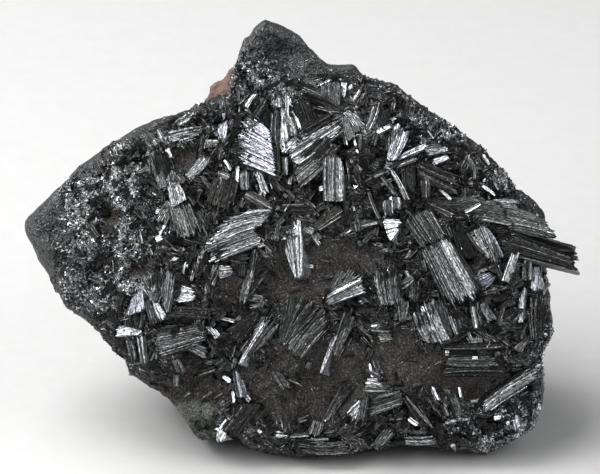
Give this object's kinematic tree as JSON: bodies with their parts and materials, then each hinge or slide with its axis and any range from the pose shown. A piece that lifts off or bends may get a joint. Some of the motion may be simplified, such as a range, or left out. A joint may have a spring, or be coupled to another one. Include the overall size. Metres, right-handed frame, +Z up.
{
  "type": "pyrolusite specimen",
  "caption": "Hand-sized slab of black manganese ore that stands leaning back, its face covered by sprays of flat metallic blades.",
  "frame": {"origin": "under the middle of the specimen's box, on the plane that it rests on", "axes": "+X along the specimen's width, to the right when its crystal face is seen; -Y out of the crystal face; +Z up"},
  "size_m": [0.093, 0.0522, 0.0664],
  "materials": {
    "black_ore": "steel-black ore with striated metallic blades, sooty hollows and a glittering crust",
    "red_host_rock": "dull reddish brown rock"
  },
  "bodies": {
    "root": {"ore_body": "black_ore", "host_rock": "red_host_rock"}
  },
  "joints": []
}
